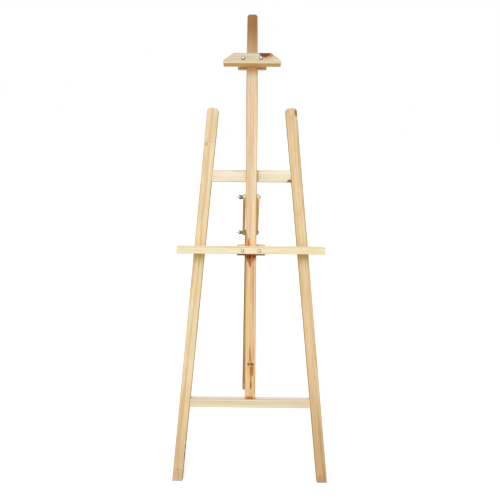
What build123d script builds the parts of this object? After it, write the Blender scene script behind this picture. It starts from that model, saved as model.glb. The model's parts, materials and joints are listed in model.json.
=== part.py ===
"""Wooden A-frame studio easel: front frame, central mast, hinged rear leg, sliding canvas ledge and clamp.

Millimetres. +Z up, the easel faces -Y, and the origin is on the floor at the middle of the footprint.
The frame is built with its front feet on y = 0 and moved to that origin when it is saved.
"""
from build123d import *
from math import asin, atan, atan2, cos, degrees, hypot, radians, sin, tan
import os

# ---- stock ---------------------------------------------------------------------------------------
STRIP_W = 35.0            # width of the planed pine strip that nearly every member is cut from
STRIP_T = 18.0            # thickness of that strip
EDGE_R = 1.2              # eased long edges
GLUE_GAP = 0.1            # glue line between a rail's end and its leg
SLIDE_GAP = 0.2           # clearance between sliding or swinging faces

# ---- front frame ---------------------------------------------------------------------------------
FRAME_LEAN = 10.0         # degrees that the front frame leans back
LEG_SPLAY = 6.0           # degrees that each front leg leans towards the middle, in the frame's plane
FOOT_SPREAD = 505.0       # between the leg centre lines at the floor
LEG_LENGTH = 1265.0
LEG_TOP_R = 9.0
FLOOR_TRIM = 40.0         # extra length below the floor that the feet are cut from
PAD_T = 2.5               # rubber pad under each foot
LOWER_RAIL_Z = 274.5      # underside of the lower rail, measured up the frame
LOWER_RAIL_H = 30.0
UPPER_RAIL_Z = 1032.0
UPPER_RAIL_H = 37.0

# ---- mast ----------------------------------------------------------------------------------------
MAST_LENGTH = 1213.0
MAST_TOP_R = 8.0
MAST_TIP_W = 29.8         # the mast narrows to this towards its tip
MAST_TAPER_Z = 1000.0     # where it starts to narrow, measured up the mast

# ---- rear leg and its links ----------------------------------------------------------------------
LINK_PIVOT_Z = 680.5      # upper pivot, measured up the mast from its foot
LINK_LENGTH = 142.0       # between the two pivots
LINK_W = 20.0
LINK_T = 7.5
LINK_TILT = 24.0          # degrees from the vertical
REAR_REACH = 512.0        # from the front edge of the front feet to the front edge of the rear foot
REAR_TWIST = 3.6          # degrees about the vertical that the links and the rear leg stand askew, towards -X

# ---- clamp at the top and ledge in the middle, both on the mast ------------------------------------
BOLT_SPREAD = 52.0        # between the two bolts of the clamp, and of the ledge
CLAMP_Z = 1067.0          # underside of the jaw, measured up the mast
JAW_W = 169.0
JAW_TOP_W = 110.0
JAW_H = 30.0
JAW_D = 30.0              # front to back
JAW_SIDE_H = 10.0         # upright part of each end, below the sloping shoulder
JAW_BOLT_Z = 16.0         # bolt height above the jaw's underside
CLAMP_BLOCK_W = 87.0
LEDGE_Z = 505.0           # underside of the ledge bar, measured up the mast
LEDGE_W = 465.0
LEDGE_H = 21.0
LEDGE_BLOCK_W = 92.0
LEDGE_BLOCK_DROP = 13.5   # how far the block reaches below the bar

# ---- hardware ------------------------------------------------------------------------------------
BOLT_R = 3.0
RUNNING_GAP = 0.05        # radial clearance of a bolt in its hole
HEAD_R = 5.25
HEAD_H = 3.3
RECESS_D = 1.6            # depth of the cross recess in bolt and screw heads
RECESS_L = 5.0
RECESS_W = 1.0
TAIL = 7.0                # bolt end that stands out past its wing nut's hub
PIVOT_TAIL = 11.0         # the same on the two pivot bolts
TAIL_CHAMFER = 0.8
WASHER_R = 6.2
WASHER_T = 1.2
HUB_H = 7.0
HUB_FOOT_R = 5.5
HUB_TOP_R = 4.6
WING_T = 2.2
WING_TIP_R = 1.5
WING_OUTLINE = [(3.6, 0.9), (6.4, 0.9), (11.4, 6.0), (11.1, 11.3), (8.0, 11.3), (5.4, 6.3), (3.6, 6.0)]
LINK_NUT_TURN = 72.0      # degrees from the vertical to the wings of the nut on the links' upper pivot
LEG_NUT_TURN = 80.0       # the same on the lower pivot
SCREW_R = 2.0
SCREW_HEAD_R = 4.0
SCREW_HEAD_H = 2.6
SCREW_POINT = 5.0
SCREW_SPREAD = 15.0       # between the two screws of a joint
RAIL_SCREW_L = 65.0
BASE_SCREW_L = 60.0
BACK_SCREW_L = 32.0

# ---- worked out from the above -------------------------------------------------------------------
RAIL_TOP = LOWER_RAIL_Z + LOWER_RAIL_H
MAST_TILT = degrees(atan(STRIP_T / (UPPER_RAIL_Z - RAIL_TOP)))   # forward, to pass in front of the rail
TWIST = Rot(0, 0, REAR_TWIST)
LINK_GAP = SLIDE_GAP + 0.6 * STRIP_T * tan(radians(REAR_TWIST))  # clears the mast's edges although askew
LINK_SEAT = STRIP_W / 2 + LINK_GAP + LINK_T                      # outer face of a link plate
FRAME = Rot(-FRAME_LEAN, 0, 0)
MAST = FRAME * Pos(0, 0, RAIL_TOP) * Rot(MAST_TILT, 0, 0)
UPPER_PIVOT = (MAST * Pos(0, STRIP_T / 2, LINK_PIVOT_Z)).position
LINK = Pos(UPPER_PIVOT) * TWIST * Rot(LINK_TILT, 0, 0)
LOWER_PIVOT = (LINK * Pos(0, 0, -LINK_LENGTH)).position
PIVOT_REACH = (REAR_REACH - LOWER_PIVOT.Y) / cos(radians(REAR_TWIST))
REAR_TILT = degrees(
    atan2(PIVOT_REACH, LOWER_PIVOT.Z) + asin(STRIP_T / 2 / hypot(PIVOT_REACH, LOWER_PIVOT.Z))
)
REAR_LEG = Pos(LOWER_PIVOT) * TWIST * Rot(REAR_TILT, 0, 0)
STANCE = (                                                       # front to back over all three feet
    REAR_REACH + STRIP_T / cos(radians(REAR_TILT)) * cos(radians(REAR_TWIST)) + STRIP_W / 2 * sin(radians(REAR_TWIST))
)
ORIGIN = Pos(0, -STANCE / 2, 0)


def save(name, *solids):
    """Write one node, moved to the easel's origin."""
    placed = [ORIGIN * solid for solid in solids]
    export_step(placed[0] if len(placed) == 1 else Compound(children=placed), f"parts/{name}.step")


# ---- timber --------------------------------------------------------------------------------------
def board(outline, depth, eased_axis=None):
    """An outline in X and Z, made depth thick towards +Y, with its long edges or its whole rim eased."""
    solid = extrude(Plane.XZ * outline, -depth)
    if eased_axis:
        edges = solid.edges().filter_by(eased_axis)
    else:
        edges = solid.faces().sort_by(Axis.Y)[0].edges() + solid.faces().sort_by(Axis.Y)[-1].edges()
    return fillet(edges, EDGE_R)


def rounded_strip(bottom, top, corner_r):
    """Strip outline along Z with round shoulders at its top."""
    outline = Pos(0, (bottom + top) / 2) * Rectangle(STRIP_W, top - bottom)
    return fillet(outline.vertices().group_by(Axis.Y)[-1], corner_r)


def floor_slab(bottom, top):
    """A slab of space between two heights above the floor, wider than the easel."""
    size = 4 * LEG_LENGTH
    return Pos(0, 0, bottom) * Box(size, size, top - bottom, align=(Align.CENTER, Align.CENTER, Align.MIN))


def leg_location(side):
    """Front leg: its own Z runs up its centre line, and its front face is the frame's front face."""
    return FRAME * Pos(side * FOOT_SPREAD / 2, 0, 0) * Rot(0, -side * LEG_SPLAY, 0)


def front_leg(side):
    return leg_location(side) * board(rounded_strip(-FLOOR_TRIM, LEG_LENGTH, LEG_TOP_R), STRIP_T)


def inner_half_width(z):
    """Half the clear width between the front legs at a height up the frame."""
    return FOOT_SPREAD / 2 - z * tan(radians(LEG_SPLAY)) - STRIP_W / 2 / cos(radians(LEG_SPLAY))


def rail(bottom, height):
    """Rail between the front legs, its ends cut to the legs' splay."""
    low = inner_half_width(bottom) - GLUE_GAP
    high = inner_half_width(bottom + height) - GLUE_GAP
    outline = Polygon(
        (-low, bottom), (low, bottom), (high, bottom + height), (-high, bottom + height), align=None
    )
    return FRAME * board(outline, STRIP_T, Axis.X)


def mast():
    """Strip that keeps its width up to the clamp's usual place and narrows from there to its tip."""
    half = STRIP_W / 2
    tip = MAST_TIP_W / 2
    outline = Polygon(
        (-half, 0), (half, 0), (half, MAST_TAPER_Z), (tip, MAST_LENGTH), (-tip, MAST_LENGTH), (-half, MAST_TAPER_Z),
        align=None,
    )
    outline = fillet(outline.vertices().group_by(Axis.Y)[-1], MAST_TOP_R)
    return MAST * board(outline, STRIP_T)


def rear_leg():
    """Strip with a fully round head about its pivot, edge-on between the link plates."""
    length = LOWER_PIVOT.Z / cos(radians(REAR_TILT)) + FLOOR_TRIM
    outline = Circle(STRIP_T / 2) + Pos(0, -length / 2) * Rectangle(STRIP_T, length)
    solid = extrude(Plane.YZ * outline, STRIP_W / 2, both=True)
    sides = solid.faces().sort_by(Axis.X)
    return REAR_LEG * fillet(sides[0].edges() + sides[-1].edges(), EDGE_R)


def link_plate(side):
    outline = Pos(0, -LINK_LENGTH / 2) * Rot(0, 0, 90) * SlotCenterToCenter(LINK_LENGTH, LINK_W)
    solid = extrude(Plane.YZ * outline, LINK_T)
    sides = solid.faces().sort_by(Axis.X)
    eased = fillet(sides[0].edges() + sides[-1].edges(), EDGE_R)
    inner = LINK_SEAT - LINK_T if side > 0 else -LINK_SEAT
    return LINK * Pos(inner, 0, 0) * eased


def jaw():
    """Front half of the clamp: a deep bar with sloping shoulders."""
    foot = JAW_W / 2
    crown = JAW_TOP_W / 2
    outline = Polygon(
        (-foot, 0), (foot, 0), (foot, JAW_SIDE_H), (crown, JAW_H), (-crown, JAW_H), (-foot, JAW_SIDE_H), align=None
    )
    return MAST * Pos(0, -SLIDE_GAP - JAW_D, CLAMP_Z) * board(outline, JAW_D)


def back_block(width, bottom):
    """Block behind the mast that the two bolts draw against it."""
    outline = Pos(0, STRIP_W / 2) * Rectangle(width, STRIP_W)
    return MAST * Pos(0, STRIP_T + SLIDE_GAP, bottom) * board(outline, STRIP_T)


def ledge_bar():
    """Strip laid flat across the front of the mast, so that the canvas stands on its width."""
    outline = Pos(0, LEDGE_H / 2) * Rectangle(LEDGE_W, LEDGE_H)
    return MAST * Pos(0, -SLIDE_GAP - STRIP_W, LEDGE_Z) * board(outline, STRIP_W)


# ---- hardware: each piece stands on its own XY plane, with its head towards +Z ----------------------
def cross_recess(top):
    slot = Box(RECESS_L, RECESS_W, RECESS_D, align=(Align.CENTER, Align.CENTER, Align.MAX))
    return Pos(0, 0, top) * (slot + Rot(0, 0, 90) * slot)


def bolt(length):
    """Round-head bolt, the underside of its head on the plane."""
    sphere_r = (HEAD_R ** 2 + HEAD_H ** 2) / (2 * HEAD_H)
    dome = Pos(0, 0, HEAD_H - sphere_r) * Sphere(sphere_r)
    head = dome & Cylinder(HEAD_R, HEAD_H, align=(Align.CENTER, Align.CENTER, Align.MIN))
    shank = Cylinder(BOLT_R, length, align=(Align.CENTER, Align.CENTER, Align.MAX))
    tip = shank.faces().sort_by(Axis.Z)[0].edges()
    return (head - cross_recess(HEAD_H)) + chamfer(tip, TAIL_CHAMFER)


def bolt_hole(length):
    return Cylinder(BOLT_R + RUNNING_GAP, 2 * length)


def washer():
    disc = Cylinder(WASHER_R, WASHER_T, align=(Align.CENTER, Align.CENTER, Align.MIN))
    return disc - Cylinder(BOLT_R + 4 * RUNNING_GAP, 4 * WASHER_T)


def wing_nut():
    hub = Cone(HUB_FOOT_R, HUB_TOP_R, HUB_H, align=(Align.CENTER, Align.CENTER, Align.MIN))
    outline = Polygon(*WING_OUTLINE, align=None)
    tips = outline.vertices().filter_by(lambda v: v.X > HUB_FOOT_R)
    wing = extrude(Plane.XZ * fillet(tips, WING_TIP_R), WING_T / 2, both=True)
    return (hub + wing + Rot(0, 0, 180) * wing) - Cylinder(BOLT_R + RUNNING_GAP, 4 * HUB_H)


def wood_screw(length, slack=0.0):
    """Countersunk screw with its head's face on the plane; slack makes the hole for it instead."""
    shank = SCREW_R + slack
    head = SCREW_HEAD_R + slack
    profile = Polygon(
        (0, 0), (head, 0), (shank, -SCREW_HEAD_H), (shank, SCREW_POINT - length), (0, -length - slack), align=None
    )
    body = revolve(Plane.XZ * profile, Axis.Z)
    return body if slack else body - cross_recess(0)


def rail_screw_locations(bottom, height):
    """Two screws through each leg's outer edge into the end of a rail."""
    middle = bottom + height / 2
    places = []
    for side in (-1, 1):
        up_leg = middle / cos(radians(LEG_SPLAY))
        for step in (-0.5, 0.5):
            edge = Pos(side * STRIP_W / 2, STRIP_T / 2, up_leg + step * SCREW_SPREAD)
            places.append(leg_location(side) * edge * Rot(0, side * 90, 0))
    return places


def back_screw_locations():
    """Two screws through the upper rail from behind, into the back of the mast."""
    middle = UPPER_RAIL_Z + UPPER_RAIL_H / 2
    return [FRAME * Pos(x * SCREW_SPREAD, STRIP_T, middle) * Rot(-90, 0, 0) for x in (-0.5, 0.5)]


def base_screw_locations():
    """Two screws up through the lower rail into the foot of the mast."""
    places = [Pos(x * SCREW_SPREAD, STRIP_T / 2, LOWER_RAIL_Z) for x in (-0.5, 0.5)]
    return [FRAME * place * Rot(180, 0, 0) for place in places]


def pair_locations(up_mast, depth):
    """Bolt places of a clamp or ledge: head against the front face of its bar, shank towards the back."""
    front = -SLIDE_GAP - depth
    return [MAST * Pos(x * BOLT_SPREAD, front, up_mast) * Rot(90, 0, 0) for x in (-0.5, 0.5)]


def nut_locations(up_mast):
    """Washer seats behind a back block, facing backwards."""
    back = 2 * STRIP_T + SLIDE_GAP
    return [MAST * Pos(x * BOLT_SPREAD, back, up_mast) * Rot(-90, 0, 0) for x in (-0.5, 0.5)]


# ---- screws, and the timber that they hold together --------------------------------------------------
os.makedirs("parts", exist_ok=True)

lower_screws = rail_screw_locations(LOWER_RAIL_Z, LOWER_RAIL_H)
upper_screws = rail_screw_locations(UPPER_RAIL_Z, UPPER_RAIL_H)
screw_sets = {
    "lower_rail_screws": (lower_screws, RAIL_SCREW_L),
    "upper_rail_screws": (upper_screws, RAIL_SCREW_L),
    "mast_back_screws": (back_screw_locations(), BACK_SCREW_L),
    "mast_base_screws": (base_screw_locations(), BASE_SCREW_L),
}
holes = []
for screw_name, (places, screw_length) in screw_sets.items():
    save(screw_name, *[place * wood_screw(screw_length) for place in places])
    holes += [place * wood_screw(screw_length, RUNNING_GAP) for place in places]

above_pads = floor_slab(PAD_T, 2 * LEG_LENGTH)
pad_layer = floor_slab(0, PAD_T)
for leg_name, leg_side in (("left", -1), ("right", 1)):
    leg = front_leg(leg_side)
    save(f"{leg_name}_front_leg", (leg & above_pads) - holes)
    save(f"{leg_name}_foot_pad", leg & pad_layer)
save("lower_rail", rail(LOWER_RAIL_Z, LOWER_RAIL_H) - holes)
save("upper_rail", rail(UPPER_RAIL_Z, UPPER_RAIL_H) - holes)

across = TWIST * Rot(0, 90, 0)             # from a pivot, +Z turns to the head's side
link_hole = Pos(UPPER_PIVOT) * across * bolt_hole(STRIP_W)
leg_hole = Pos(LOWER_PIVOT) * across * bolt_hole(STRIP_W)
save("mast", mast() - holes - link_hole)

# ---- rear leg, its two link plates and their pivots -------------------------------------------------
prop = rear_leg()
save("rear_leg", (prop & above_pads) - leg_hole)
save("rear_foot_pad", prop & pad_layer)
for plate_name, plate_side in (("left", -1), ("right", 1)):
    save(f"{plate_name}_link_plate", link_plate(plate_side) - link_hole - leg_hole)

pivot_grip = 2 * (LINK_SEAT + WASHER_T)
pivots = {"link_pivot": (UPPER_PIVOT, LINK_NUT_TURN), "leg_pivot": (LOWER_PIVOT, LEG_NUT_TURN)}
for pivot_name, (centre, nut_turn) in pivots.items():
    head_side = Pos(centre) * across * Pos(0, 0, LINK_SEAT)
    nut_side = Pos(centre) * TWIST * Rot(0, -90, 0) * Pos(0, 0, LINK_SEAT)
    save(f"{pivot_name}_bolt", head_side * Pos(0, 0, WASHER_T) * bolt(pivot_grip + HUB_H + PIVOT_TAIL))
    save(f"{pivot_name}_head_washer", head_side * washer())
    save(f"{pivot_name}_nut_washer", nut_side * washer())
    save(f"{pivot_name}_wing_nut", nut_side * Pos(0, 0, WASHER_T) * Rot(0, 0, nut_turn) * wing_nut())

# ---- clamp and ledge: a front bar and a back block, drawn together by two bolts -----------------------
sliders = {
    "clamp": (jaw(), JAW_D, back_block(CLAMP_BLOCK_W, CLAMP_Z), CLAMP_Z + JAW_BOLT_Z),
    "ledge": (ledge_bar(), STRIP_W, back_block(LEDGE_BLOCK_W, LEDGE_Z - LEDGE_BLOCK_DROP), LEDGE_Z + LEDGE_H / 2),
}
front_names = {"clamp": "clamp_jaw", "ledge": "ledge_bar"}
for slider, (front, depth, block, bolt_height) in sliders.items():
    slider_grip = depth + 2 * STRIP_T + 2 * SLIDE_GAP + WASHER_T
    bolt_places = pair_locations(bolt_height, depth)
    bores = [place * bolt_hole(slider_grip) for place in bolt_places]
    save(front_names[slider], front - bores)
    save(f"{slider}_back_block", block - bores)
    save(f"{slider}_bolts", *[place * bolt(slider_grip + HUB_H + TAIL) for place in bolt_places])
    save(f"{slider}_washers", *[place * washer() for place in nut_locations(bolt_height)])
    for nut_name, place in zip(("left", "right"), nut_locations(bolt_height)):
        save(f"{slider}_{nut_name}_wing_nut", place * Pos(0, 0, WASHER_T) * Rot(0, 0, 90) * wing_nut())
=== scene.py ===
"""Looks for the wooden A-frame studio easel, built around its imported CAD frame.

Metres, +Z up, the easel faces -Y. Timber keeps its CAD meshes and gets procedural pine; bolts, washers,
wing nuts, screws and foot pads are detailed meshes that stand for their CAD nodes.
"""
import bpy
import bmesh
import json
from math import cos, hypot, pi, radians, sin, sqrt
from mathutils import Matrix, Vector

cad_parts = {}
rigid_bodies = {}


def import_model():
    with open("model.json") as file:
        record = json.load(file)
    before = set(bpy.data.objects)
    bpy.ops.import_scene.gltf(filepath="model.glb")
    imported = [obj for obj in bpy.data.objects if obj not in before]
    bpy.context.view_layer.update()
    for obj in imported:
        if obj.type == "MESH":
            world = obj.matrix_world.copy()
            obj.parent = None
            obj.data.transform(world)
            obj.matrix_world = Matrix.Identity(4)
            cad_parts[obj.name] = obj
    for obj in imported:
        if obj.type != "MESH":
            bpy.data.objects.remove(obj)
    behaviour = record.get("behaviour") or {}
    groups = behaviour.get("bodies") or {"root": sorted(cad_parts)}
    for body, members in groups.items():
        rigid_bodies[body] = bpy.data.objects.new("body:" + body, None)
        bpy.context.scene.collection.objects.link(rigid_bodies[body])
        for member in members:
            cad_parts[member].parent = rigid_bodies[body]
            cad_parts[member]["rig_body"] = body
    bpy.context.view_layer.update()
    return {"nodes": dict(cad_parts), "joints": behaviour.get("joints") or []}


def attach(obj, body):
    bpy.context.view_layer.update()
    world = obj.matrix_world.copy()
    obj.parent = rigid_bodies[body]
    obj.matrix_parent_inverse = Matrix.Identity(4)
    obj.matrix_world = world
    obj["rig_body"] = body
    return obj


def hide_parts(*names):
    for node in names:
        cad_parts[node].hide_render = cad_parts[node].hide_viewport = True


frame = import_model()
NODES = frame["nodes"]
JOINTS = {joint["name"]: joint for joint in frame["joints"]}
MM = 0.001
X, Y, Z = Vector((1, 0, 0)), Vector((0, 1, 0)), Vector((0, 0, 1))


def placed(name, data):
    """A new object in the scene."""
    made = bpy.data.objects.new(name, data)
    bpy.context.scene.collection.objects.link(made)
    return made


# ---- camera ----------------------------------------------------------------------------------------
CAMERA_AT = Vector((0.0094, -1.3573, 1.1852))
CAMERA_YAW = radians(-0.584)      # towards +X
CAMERA_PITCH = radians(17.221)    # downwards
CAMERA_ROLL = radians(0.281)
CAMERA_LENS = 28.74               # mm, on a 36 mm sensor


def add_camera():
    forward = Vector((
        sin(CAMERA_YAW) * cos(CAMERA_PITCH), cos(CAMERA_YAW) * cos(CAMERA_PITCH), -sin(CAMERA_PITCH)
    ))
    level = Vector((cos(CAMERA_YAW), -sin(CAMERA_YAW), 0))
    upright = level.cross(forward)
    right = level * cos(CAMERA_ROLL) + upright * sin(CAMERA_ROLL)
    up = upright * cos(CAMERA_ROLL) - level * sin(CAMERA_ROLL)
    data = bpy.data.cameras.new("camera")
    data.sensor_width = 36
    data.lens = CAMERA_LENS
    data.clip_end = 100
    camera = placed("camera", data)
    camera.matrix_world = Matrix.Translation(CAMERA_AT) @ Matrix((right, up, -forward)).transposed().to_4x4()
    bpy.context.scene.camera = camera


# ---- node trees ------------------------------------------------------------------------------------
def srgb(red, green, blue):
    """An 8-bit display colour as a linear one."""
    def linear(value):
        value /= 255
        return value / 12.92 if value <= 0.04045 else ((value + 0.055) / 1.055) ** 2.4
    return linear(red), linear(green), linear(blue), 1.0


class Tree:
    """Short calls for building a material's nodes."""

    def __init__(self, name):
        self.material = bpy.data.materials.new(name)
        self.material.use_nodes = True
        self.tree = self.material.node_tree
        self.tree.nodes.clear()
        self.shader = self.node("ShaderNodeBsdfPrincipled")
        output = self.node("ShaderNodeOutputMaterial")
        self.tree.links.new(self.shader.outputs["BSDF"], output.inputs["Surface"])

    def node(self, kind, settings=None, **inputs):
        node = self.tree.nodes.new(kind)
        for key, value in (settings or {}).items():
            setattr(node, key, value)
        for key, value in inputs.items():
            self.put(node.inputs[key.replace("_", " ")], value)
        return node

    def put(self, socket, value):
        if isinstance(value, bpy.types.NodeSocket):
            self.tree.links.new(value, socket)
        else:
            socket.default_value = value

    def math(self, operation, *values):
        node = self.node("ShaderNodeMath", {"operation": operation})
        for socket, value in zip(node.inputs, values):
            self.put(socket, value)
        return node.outputs[0]

    def add(self, *values):
        total = values[0]
        for value in values[1:]:
            total = self.math("ADD", total, value)
        return total

    def mul(self, a, b):
        return self.math("MULTIPLY", a, b)

    def less(self, a, b):
        return self.math("SUBTRACT", a, b)

    def over(self, a, b):
        return self.math("DIVIDE", a, b)

    def step(self, value, low, high, out_low=0.0, out_high=1.0):
        """Smooth step of a value from low to high."""
        node = self.node("ShaderNodeMapRange", {"interpolation_type": "SMOOTHSTEP"})
        for socket, number in zip(node.inputs, (value, low, high, out_low, out_high)):
            self.put(socket, number)
        return node.outputs[0]

    def scaled(self, vector, scale, offset=(0.0, 0.0, 0.0)):
        node = self.node("ShaderNodeMapping", Vector=vector)
        node.inputs["Scale"].default_value = scale
        node.inputs["Location"].default_value = offset
        return node.outputs[0]

    def noise(self, vector, detail=2.0, roughness=0.5, colour=False):
        node = self.node("ShaderNodeTexNoise", Vector=vector, Scale=1.0, Detail=detail, Roughness=roughness)
        return node.outputs["Color" if colour else 0]

    def mix(self, factor, a, b, blend="MIX"):
        node = self.node("ShaderNodeMix", {"data_type": "RGBA", "blend_type": blend})
        self.put(node.inputs[0], factor)
        self.put(node.inputs[6], a)
        self.put(node.inputs[7], b)
        return node.outputs[2]

    def surface(self, colour, roughness, height, strength, distance):
        """The finished material: its colour, roughness and a bump of this height over this distance."""
        bump = self.node("ShaderNodeBump", Height=height, Strength=strength, Distance=distance)
        for name, value in (("Base Color", colour), ("Roughness", roughness), ("Normal", bump.outputs[0])):
            self.put(self.shader.inputs[name], value)
        return self.material


# ---- pine ------------------------------------------------------------------------------------------
SQUARE_ON = 0.02                  # cosines that sort a strip's faces into its own directions
ACROSS = 0.5
MOSTLY = 0.6

# noise features in a metre of strip: across, through and along the grain
TRUNK_DRIFT = (9, 9, 1.6)
RING_WOBBLE = (60, 60, 6)
KNOT_OUTLINE = (220, 220, 220)
FIBRE = (1500, 1500, 26)
THREAD = (420, 420, 5)
STREAK = (110, 110, 1.7)
CLOUD = (14, 14, 2.2)
FLECK = (900, 900, 32)
MOTTLE = (70, 70, 13)

DRIFT = 12 * MM                   # how far the pith wanders
KNOT_SWELL = 3.5 * MM             # how far the rings swing out round a knot
CUTTER_MARKS = 2.1 * MM           # between the planer's marks
CUTTER_SKEW = 0.06
GRAIN_DEPTH = 0.22 * MM
EDGE_WEAR = 2.6 * MM              # how far wear reaches in from an edge
EDGE_BARE = 0.6 * MM              # where it is strongest
EDGE_FRAY = 1.6 * MM
RINGS_OVER_STAINS = 0.24
WOOD_SHEEN = 0.2
MOTTLE_TINTS = ((0.90, 0.92, 0.80, 1), (1.0, 0.87, 0.78, 1))      # olive and blush, multiplied in
# what a look says by default
PLAIN_LOOK = {
    "pitch": 2.6 * MM, "run_out": 0.0, "ring": 0.55, "streaks": 0.35, "clouds": 0.3, "mottle": 0.7, "edges": 0.6,
    "knots": (), "shades": (), "patches": (),
}


class Strip:
    """The place of a timber node: origin at the middle of its lower or left end, X across, Y through, Z along."""

    def __init__(self, node, along):
        mesh = NODES[node].data
        areas = {}
        for face in mesh.polygons:
            normal = face.normal.copy()
            if max(normal, key=abs) < 0:
                normal = -normal
            key = tuple(round(value, 2) for value in normal)
            area, first = areas.get(key, (0.0, normal))
            areas[key] = (area + face.area, first)
        ranked = [normal for _, normal in sorted(areas.values(), key=lambda item: -item[0])]
        self.y = ranked[0].normalized()
        self.x = next(n for n in ranked if abs(n.dot(self.y)) < SQUARE_ON and abs(n.dot(along)) < ACROSS)
        self.x = (self.x - self.y * self.x.dot(self.y)).normalized()
        self.z = self.x.cross(self.y).normalized()
        if self.z.dot(along) < 0:
            self.z = -self.z
        facing = Y if abs(self.y.dot(Y)) > MOSTLY else Z
        if self.y.dot(facing) < 0:
            self.y = -self.y
        self.x = self.y.cross(self.z)
        spans = []
        for axis in (self.x, self.y, self.z):
            reach = [vertex.co.dot(axis) for vertex in mesh.vertices]
            spans.append((min(reach), max(reach)))
        middle = [(low + high) / 2 for low, high in spans]
        self.half_x, self.half_y = ((high - low) / 2 for low, high in spans[:2])
        self.origin = self.x * middle[0] + self.y * middle[1] + self.z * spans[2][0]
        self.euler = Matrix((self.x, self.y, self.z)).transposed().to_euler()


def knot_distance(t, eye, local, seed, x, z):
    """A point's distance from a knot that runs through the strip along Y, in units of the knot's size."""
    dx = t.over(t.less(x, eye["at"][0]), eye["size"][0])
    dz = t.over(t.less(z, eye["at"][1]), eye["size"][1])
    ragged = t.noise(t.scaled(local, KNOT_OUTLINE, (eye["at"][1] * 50, seed, 0)), 3, 0.6)
    far = t.math("SQRT", t.add(t.mul(dx, dx), t.mul(dz, dz)))
    return t.add(far, t.mul(t.less(ragged, 0.5), 0.45))


def knot_colour(t, eye, far, colour, warm):
    """A knot with its own fine rings and a dark rim, in a halo of warmer wood."""
    colour = t.mix(t.step(far, 2.3, 0.9, 0.0, eye.get("halo", 0.4)), colour, warm)
    rings = t.math("SINE", t.mul(far, 17.0))
    core = t.mix(t.step(rings, -1.0, 1.0), eye["dark"], eye["light"])
    colour = t.mix(t.step(far, 1.12, 0.82, 0.0, eye.get("amount", 1.0)), colour, core)
    rim = t.mul(t.step(far, 0.78, 0.98), t.step(far, 1.22, 1.02))
    return t.mix(t.mul(rim, eye.get("rim", 0.8)), colour, eye["dark"])


def late_wood(t, local, look, radius):
    """Growth rings: each year darkens slowly and ends sharply, and some years are stronger."""
    wobble = t.noise(t.scaled(local, RING_WOBBLE, (0, look["seed"], 0)), 3, 0.55)
    phase = t.add(t.over(radius, look["pitch"]), t.mul(wobble, 0.5))
    within = t.math("FRACT", phase)
    year = t.node("ShaderNodeTexWhiteNoise", {"noise_dimensions": "1D"}, W=t.math("FLOOR", phase)).outputs[0]
    late = t.mul(t.step(within, 0.25, 0.9), t.step(within, 1.0, 0.93))
    return t.mul(late, t.step(year, 0.0, 1.0, 0.35, 1.0))


def shade_amount(t, tint, z, front):
    """A tint comes in along the strip between two heights, and may go out again or keep to the front."""
    amount = t.step(z, *tint["along"], 0.0, tint["amount"])
    if "out" in tint:
        amount = t.mul(amount, t.step(z, *tint["out"]))
    return t.mul(amount, front) if tint.get("front") else amount


def patch_amount(t, patch, wide, z, outline, front):
    """A stain, streak or patch of painted shade has a soft outline that follows the grain."""
    along = t.less(z, patch["at"][1])
    across = t.less(wide, patch["at"][0])
    if "lean" in patch:
        across = t.less(across, t.mul(along, patch["lean"]))
    dx = t.over(across, patch["size"][0])
    dz = t.over(along, patch["size"][1])
    if "narrows" in patch:
        dx = t.mul(dx, t.step(dz, -1.0, 1.0, *patch["narrows"]))
    far = t.add(t.mul(dx, dx), t.mul(dz, dz))
    far = t.add(far, t.mul(outline, patch.get("ragged", 1.0)))
    amount = t.step(far, 1.25, patch.get("core", 0.15), 0.0, patch["amount"])
    return t.mul(amount, front) if patch.get("front") else amount


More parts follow.
